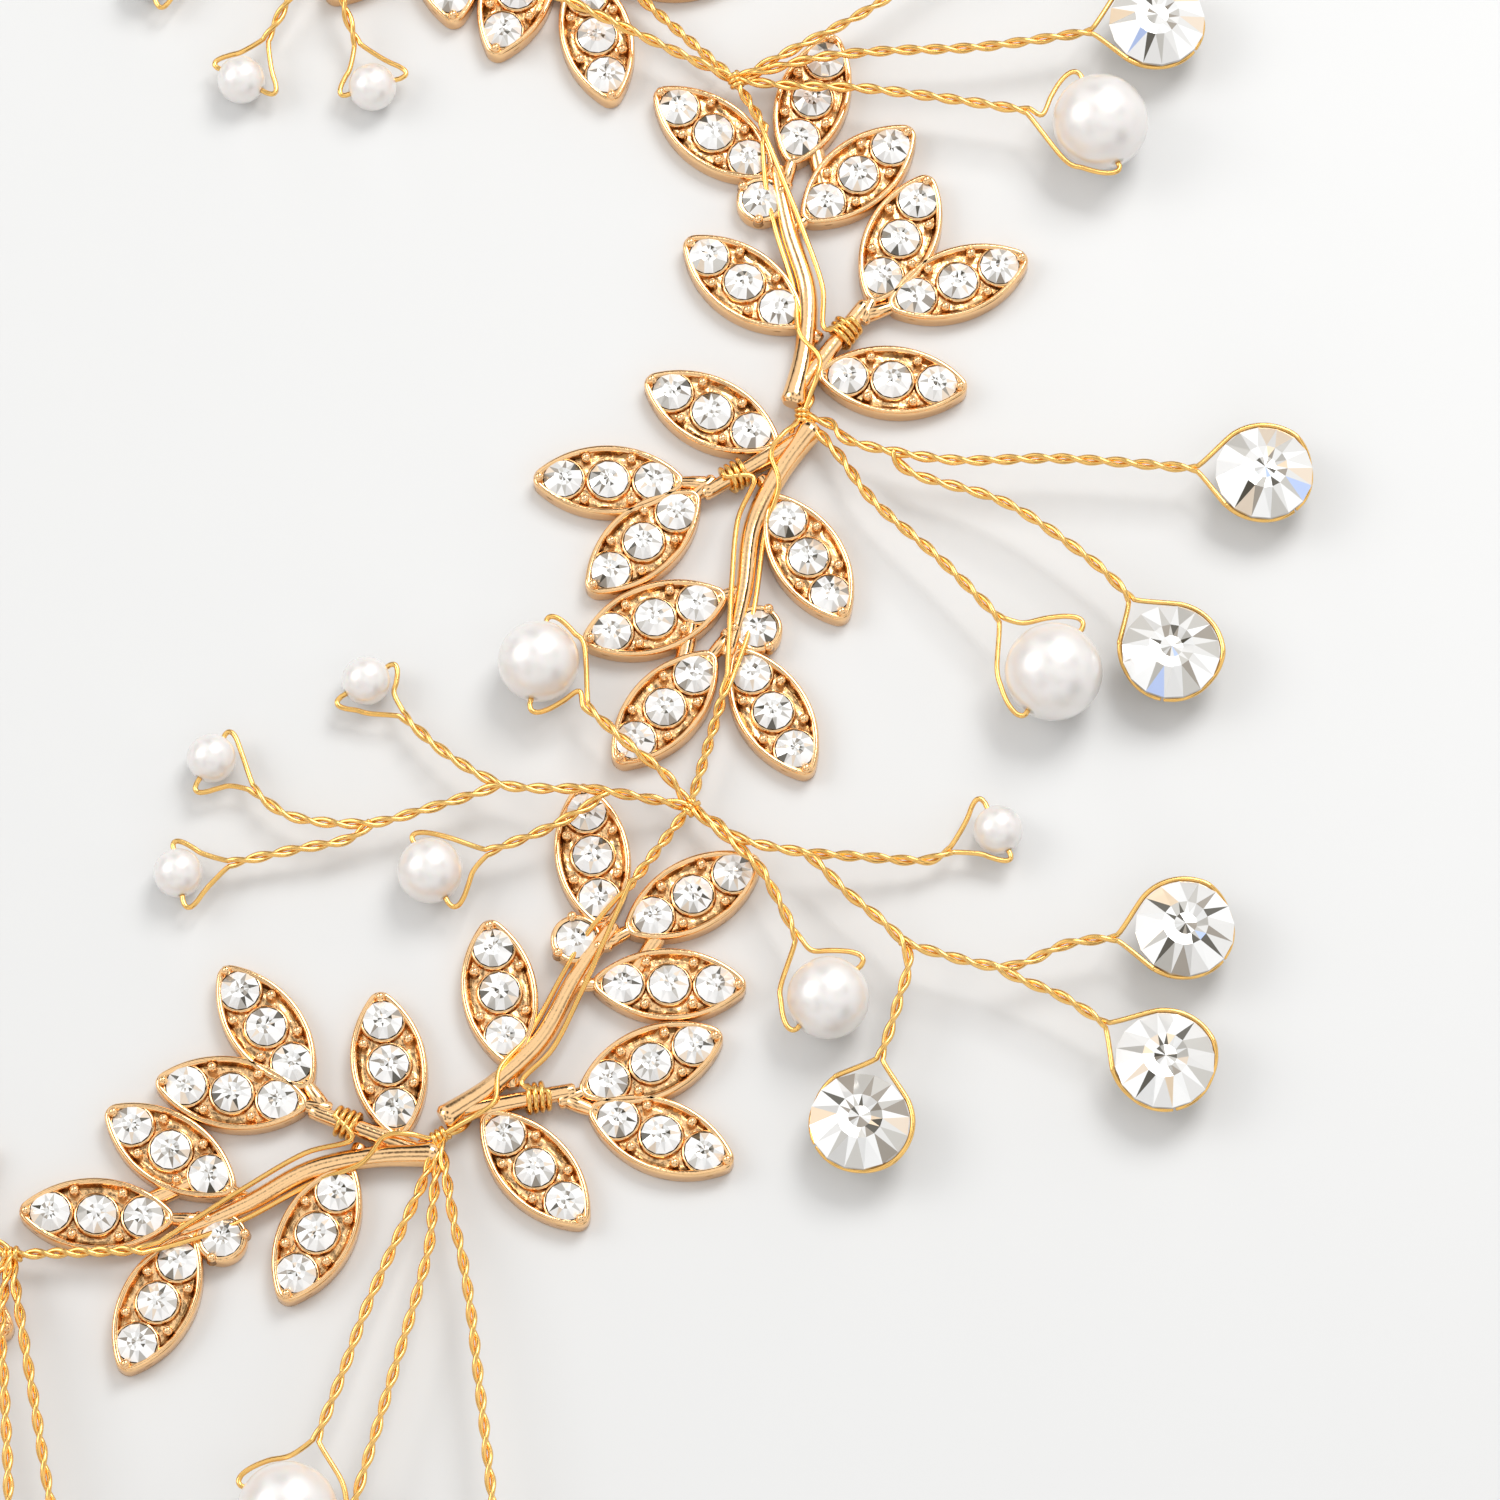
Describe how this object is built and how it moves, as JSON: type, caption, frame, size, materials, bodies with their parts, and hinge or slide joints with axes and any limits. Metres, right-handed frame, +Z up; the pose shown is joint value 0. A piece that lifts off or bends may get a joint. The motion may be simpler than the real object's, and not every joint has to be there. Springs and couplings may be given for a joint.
{
  "type": "bridal tiara",
  "caption": "Soft bridal hair vine: leaf sprays set with rhinestones, wired end to end in a C, with sprigs of twisted wire that carry pearls and crystals.",
  "frame": {"origin": "under the middle of the whole vine, on the surface that it lies on", "axes": "+Z up, away from the surface and out of the faces of the leaves; +X along the width of the C; +Y towards its open side"},
  "size_m": [0.1734, 0.1194, 0.006],
  "materials": {
    "casting": "bright champagne gold plating on a cast leaf spray",
    "wire": "gold-plated soft craft wire",
    "rhinestone": "clear faceted glass with a foiled back",
    "crystal": "clear faceted crystal with a foiled back",
    "pearl": "ivory imitation pearl lustre"
  },
  "bodies": {
    "spray_1": {"spray_1": "casting", "rhinestones_1": "rhinestone", "binding_wire_1": "wire"},
    "spray_2": {"spray_2": "casting", "rhinestones_2": "rhinestone", "binding_wire_2": "wire"},
    "spray_3": {"spray_3": "casting", "rhinestones_3": "rhinestone", "binding_wire_3": "wire"},
    "spray_4": {"spray_4": "casting", "rhinestones_4": "rhinestone", "binding_wire_4": "wire"},
    "spray_5": {"spray_5": "casting", "rhinestones_5": "rhinestone", "binding_wire_5": "wire"},
    "spray_6": {"spray_6": "casting", "rhinestones_6": "rhinestone", "binding_wire_6": "wire"},
    "spray_7": {"spray_7": "casting", "rhinestones_7": "rhinestone", "binding_wire_7": "wire"},
    "spray_8": {"spray_8": "casting", "rhinestones_8": "rhinestone", "binding_wire_8": "wire"},
    "sprig_1": {"sprig_wire_1": "wire", "crystals_1": "crystal"},
    "pearl_1_1": {"pearl_1_1": "pearl"},
    "sprig_2": {"sprig_wire_2": "wire", "crystals_2": "crystal"},
    "pearl_2_1": {"pearl_2_1": "pearl"},
    "pearl_2_2": {"pearl_2_2": "pearl"},
    "pearl_2_3": {"pearl_2_3": "pearl"},
    "pearl_2_4": {"pearl_2_4": "pearl"},
    "sprig_3": {"sprig_wire_3": "wire", "crystals_3": "crystal"},
    "pearl_3_1": {"pearl_3_1": "pearl"},
    "sprig_4": {"sprig_wire_4": "wire", "crystals_4": "crystal"},
    "pearl_4_1": {"pearl_4_1": "pearl"},
    "pearl_4_2": {"pearl_4_2": "pearl"},
    "pearl_4_3": {"pearl_4_3": "pearl"},
    "pearl_4_4": {"pearl_4_4": "pearl"},
    "pearl_4_5": {"pearl_4_5": "pearl"},
    "pearl_4_6": {"pearl_4_6": "pearl"},
    "pearl_4_7": {"pearl_4_7": "pearl"},
    "sprig_5": {"sprig_wire_5": "wire", "crystals_5": "crystal"},
    "pearl_5_1": {"pearl_5_1": "pearl"},
    "sprig_6": {"sprig_wire_6": "wire", "crystals_6": "crystal"},
    "pearl_6_1": {"pearl_6_1": "pearl"},
    "pearl_6_2": {"pearl_6_2": "pearl"},
    "pearl_6_3": {"pearl_6_3": "pearl"},
    "pearl_6_4": {"pearl_6_4": "pearl"},
    "sprig_7": {"sprig_wire_7": "wire", "crystals_7": "crystal"},
    "pearl_7_1": {"pearl_7_1": "pearl"},
    "end_loop_1": {"end_loop_1": "wire"},
    "end_loop_8": {"end_loop_8": "wire"}
  },
  "joints": [
    {"name": "fold_4", "type": "hinge", "parent": "spray_4", "child": "sprig_4", "pos_m": [0.00147, -0.02347, 0.0015], "axis": [0.0052, 1, 0], "range_deg": [-10, 6]},
    {"name": "bend_4", "type": "hinge", "parent": "sprig_4", "child": "spray_5", "pos_m": [0.00147, -0.02347, 0.0015], "axis": [0, 0, 1], "range_deg": [-5, 8]},
    {"name": "fold_5", "type": "hinge", "parent": "spray_5", "child": "sprig_5", "pos_m": [-0.02383, -0.01981, 0.001], "axis": [0.4617, 0.887, 0], "range_deg": [-10, 12]},
    {"name": "bend_5", "type": "hinge", "parent": "sprig_5", "child": "spray_6", "pos_m": [-0.02383, -0.01981, 0.001], "axis": [0, 0, 1], "range_deg": [-5, 8]},
    {"name": "fold_6", "type": "hinge", "parent": "spray_6", "child": "sprig_6", "pos_m": [-0.04223, -0.00078, 0.0015], "axis": [0.8251, 0.565, 0], "range_deg": [-10, 12]},
    {"name": "bend_6", "type": "hinge", "parent": "sprig_6", "child": "spray_7", "pos_m": [-0.04223, -0.00078, 0.0015], "axis": [0, 0, 1], "range_deg": [-5, 8]},
    {"name": "fold_7", "type": "hinge", "parent": "spray_7", "child": "sprig_7", "pos_m": [-0.05228, 0.02222, 0.001], "axis": [0.9914, 0.1305, 0], "range_deg": [-10, 12]},
    {"name": "bend_7", "type": "hinge", "parent": "sprig_7", "child": "spray_8", "pos_m": [-0.05228, 0.02222, 0.001], "axis": [0, 0, 1], "range_deg": [-5, 8]},
    {"name": "fold_3", "type": "hinge", "parent": "spray_4", "child": "sprig_3", "pos_m": [0.02757, -0.01764, 0.001], "axis": [0.4818, -0.8763, 0], "range_deg": [-10, 12]},
    {"name": "bend_3", "type": "hinge", "parent": "sprig_3", "child": "spray_3", "pos_m": [0.02757, -0.01764, 0.001], "axis": [0, 0, -1], "range_deg": [-5, 8]},
    {"name": "fold_2", "type": "hinge", "parent": "spray_3", "child": "sprig_2", "pos_m": [0.04557, -0.00357, 0.0015], "axis": [0.7997, -0.6004, 0], "range_deg": [-10, 8]},
    {"name": "bend_2", "type": "hinge", "parent": "sprig_2", "child": "spray_2", "pos_m": [0.04557, -0.00357, 0.0015], "axis": [0, 0, -1], "range_deg": [-5, 8]},
    {"name": "fold_1", "type": "hinge", "parent": "spray_2", "child": "sprig_1", "pos_m": [0.05592, 0.02335, 0.001], "axis": [0.994, -0.1097, 0], "range_deg": [-10, 12]},
    {"name": "bend_1", "type": "hinge", "parent": "sprig_1", "child": "spray_1", "pos_m": [0.05592, 0.02335, 0.001], "axis": [0, 0, -1], "range_deg": [-5, 8]},
    {"name": "end_loop_1_swing", "type": "hinge", "parent": "spray_1", "child": "end_loop_1", "pos_m": [0.05275, 0.04729, 0.0012], "axis": [0, 0, 1], "range_deg": [-30, 30]},
    {"name": "end_loop_8_swing", "type": "hinge", "parent": "spray_8", "child": "end_loop_8", "pos_m": [-0.05198, 0.04614, 0.0012], "axis": [0, 0, 1], "range_deg": [-30, 30]},
    {"name": "pearl_1_1_turn", "type": "hinge", "parent": "sprig_1", "child": "pearl_1_1", "pos_m": [0.06866, 0.00383, 0.003], "axis": [-0.6408, -0.7677, 0], "continuous": true},
    {"name": "pearl_2_1_turn", "type": "hinge", "parent": "sprig_2", "child": "pearl_2_1", "pos_m": [0.05296, -0.02538, 0.003], "axis": [-0.6677, -0.7444, 0], "continuous": true},
    {"name": "pearl_2_2_turn", "type": "hinge", "parent": "sprig_2", "child": "pearl_2_2", "pos_m": [0.03466, 0.01637, 0.0015], "axis": [-0.722, 0.6919, 0], "continuous": true},
    {"name": "pearl_2_3_turn", "type": "hinge", "parent": "sprig_2", "child": "pearl_2_3", "pos_m": [0.03131, 0.02389, 0.0015], "axis": [0.0238, 0.9997, 0], "continuous": true},
    {"name": "pearl_2_4_turn", "type": "hinge", "parent": "sprig_2", "child": "pearl_2_4", "pos_m": [0.03487, 0.03247, 0.0015], "axis": [0.7256, 0.6881, 0], "continuous": true},
    {"name": "pearl_3_1_turn", "type": "hinge", "parent": "sprig_3", "child": "pearl_3_1", "pos_m": [0.01893, -0.03928, 0.003], "axis": [-0.9966, 0.0828, 0], "continuous": true},
    {"name": "pearl_4_1_turn", "type": "hinge", "parent": "sprig_4", "child": "pearl_4_1", "pos_m": [0.00878, -0.04071, 0.0015], "axis": [-0.6139, -0.7894, 0], "continuous": true},
    {"name": "pearl_4_2_turn", "type": "hinge", "parent": "sprig_4", "child": "pearl_4_2", "pos_m": [-0.00579, -0.03663, 0.0025], "axis": [-0.9586, 0.2849, 0], "continuous": true},
    {"name": "pearl_4_3_turn", "type": "hinge", "parent": "sprig_4", "child": "pearl_4_3", "pos_m": [0.00524, -0.01109, 0.0025], "axis": [0.9539, 0.3, 0], "continuous": true},
    {"name": "pearl_4_4_turn", "type": "hinge", "parent": "sprig_4", "child": "pearl_4_4", "pos_m": [-0.00042, -0.00216, 0.0015], "axis": [0.8878, -0.4602, 0], "continuous": true},
    {"name": "pearl_4_5_turn", "type": "hinge", "parent": "sprig_4", "child": "pearl_4_5", "pos_m": [-0.00918, 0.00379, 0.0015], "axis": [1, -0.0063, 0], "continuous": true},
    {"name": "pearl_4_6_turn", "type": "hinge", "parent": "sprig_4", "child": "pearl_4_6", "pos_m": [-0.01659, 0.00203, 0.0015], "axis": [0.7802, 0.6255, 0], "continuous": true},
    {"name": "pearl_4_7_turn", "type": "hinge", "parent": "sprig_4", "child": "pearl_4_7", "pos_m": [-0.00956, -0.01151, 0.002], "axis": [0.5539, 0.8326, 0], "continuous": true},
    {"name": "pearl_5_1_turn", "type": "hinge", "parent": "sprig_5", "child": "pearl_5_1", "pos_m": [-0.0488, -0.02316, 0.003], "axis": [0.0447, 0.999, 0], "continuous": true},
    {"name": "pearl_6_1_turn", "type": "hinge", "parent": "sprig_6", "child": "pearl_6_1", "pos_m": [-0.06825, -0.00527, 0.003], "axis": [-0.2295, 0.9733, 0], "continuous": true},
    {"name": "pearl_6_2_turn", "type": "hinge", "parent": "sprig_6", "child": "pearl_6_2", "pos_m": [-0.03046, 0.01867, 0.0015], "axis": [-0.7515, -0.6598, 0], "continuous": true},
    {"name": "pearl_6_3_turn", "type": "hinge", "parent": "sprig_6", "child": "pearl_6_3", "pos_m": [-0.02678, 0.02604, 0.0015], "axis": [-0.0199, -0.9998, 0], "continuous": true},
    {"name": "pearl_6_4_turn", "type": "hinge", "parent": "sprig_6", "child": "pearl_6_4", "pos_m": [-0.02996, 0.03476, 0.0015], "axis": [0.6949, -0.7191, 0], "continuous": true},
    {"name": "pearl_7_1_turn", "type": "hinge", "parent": "sprig_7", "child": "pearl_7_1", "pos_m": [-0.06935, 0.04075, 0.003], "axis": [0.844, 0.5364, 0], "continuous": true}
  ]
}
